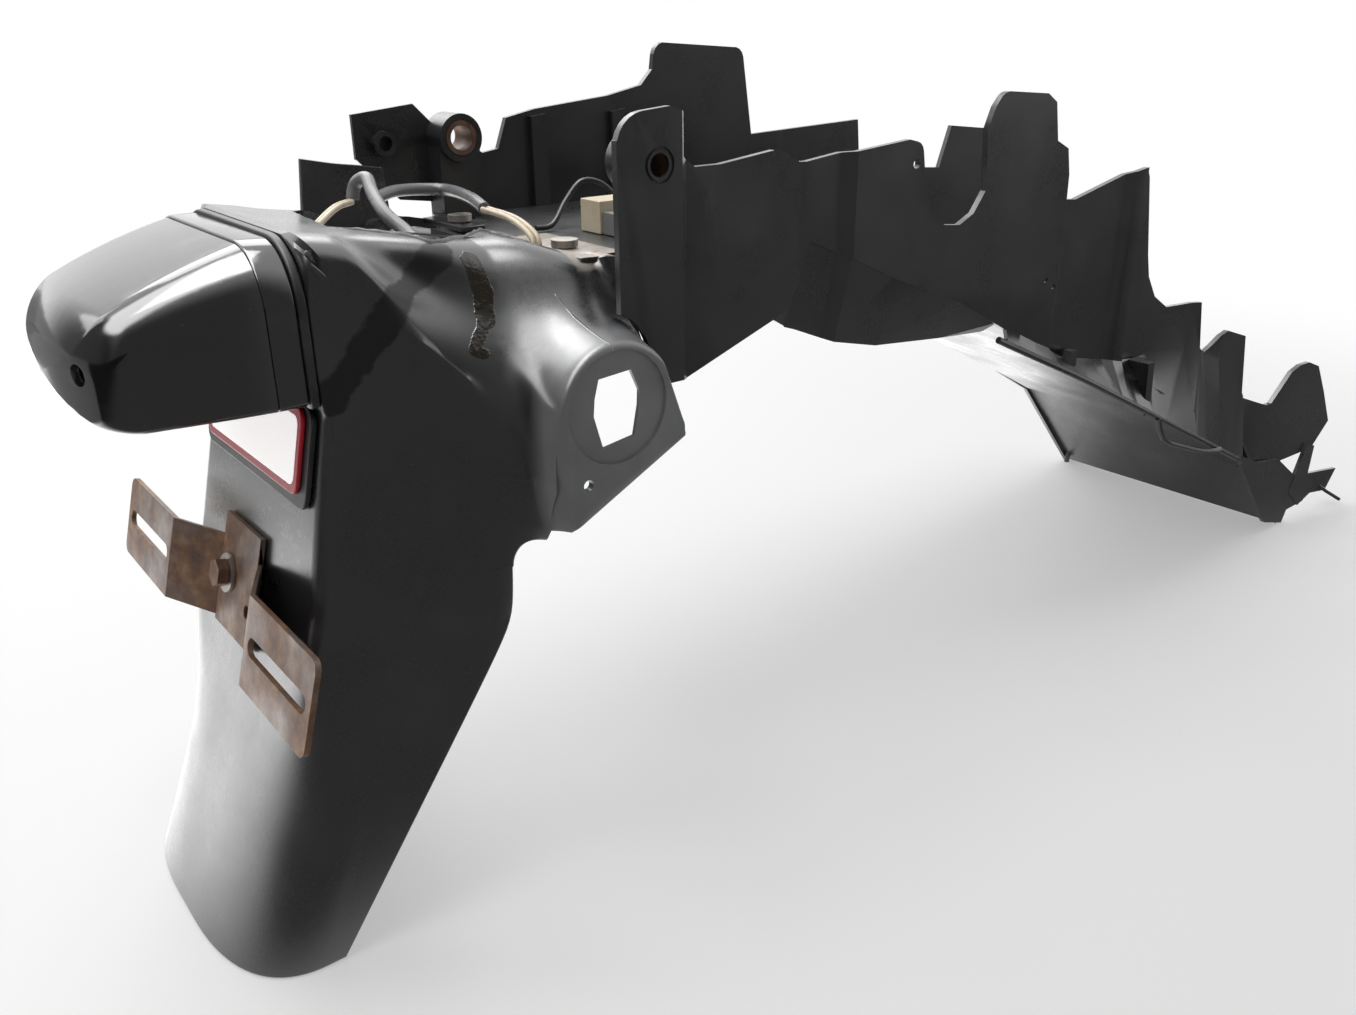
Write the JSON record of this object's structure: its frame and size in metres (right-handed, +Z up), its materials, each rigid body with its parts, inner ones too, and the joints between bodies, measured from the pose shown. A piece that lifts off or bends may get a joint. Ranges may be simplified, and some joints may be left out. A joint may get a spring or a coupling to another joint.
{
  "type": "motorcycle rear fender",
  "caption": "Rear fender assembly of a motorcycle: mudguard flap, undertray arch with side walls, tail lamp, licence plate bracket and wiring.",
  "frame": {"origin": "bottom centre of the whole assembly as it stands on the flap's foot and the undertray's front edge", "axes": "+X to the front of the vehicle, +Y to its left, +Z up"},
  "size_m": [0.7796, 0.2, 0.311],
  "materials": {
    "mudguard_plastic": "satin black moulded plastic, dusty and water-marked",
    "undertray_plastic": "satin black moulded plastic, worn edges",
    "lamp_plastic": "glossy black plastic, lightly scratched",
    "clear_lens": "clear plastic window",
    "bulb_glass": "clear glass",
    "seal_rubber": "matt black rubber",
    "holder_plastic": "matt black plastic",
    "panel_plastic": "plain pale face with a coloured rim",
    "rusted_steel": "rusted sheet steel with traces of plating",
    "plated_steel": "dull zinc plating with light rust",
    "sheath_vinyl": "grey vinyl tube, satin",
    "cream_insulation": "aged cream insulation",
    "black_insulation": "black insulation",
    "cream_nylon": "aged cream nylon",
    "grey_nylon": "grey nylon"
  },
  "bodies": {
    "root": {"rear_mudguard": "mudguard_plastic", "undertray": "undertray_plastic", "lamp_seal": "seal_rubber", "lamp_base": "lamp_plastic", "lamp_cover": "lamp_plastic", "lamp_lens": "clear_lens", "bulb_holder": "holder_plastic", "bulb": "bulb_glass", "lamp_cover_screws": "plated_steel", "lamp_base_nuts": "plated_steel", "panel_backing": "holder_plastic", "reflector_panel": "panel_plastic", "plate_bracket": "rusted_steel", "bracket_bolt": "rusted_steel", "bracket_washer": "plated_steel", "bracket_nut": "plated_steel", "mount_collars": "rusted_steel", "joint_screws": "plated_steel", "joint_clips": "plated_steel", "main_sheath": "sheath_vinyl", "branch_sheath": "sheath_vinyl", "lamp_leads": "cream_insulation", "tail_leads": "cream_insulation", "earth_lead": "black_insulation", "connector_socket": "cream_nylon", "connector_plug": "grey_nylon"}
  },
  "joints": []
}
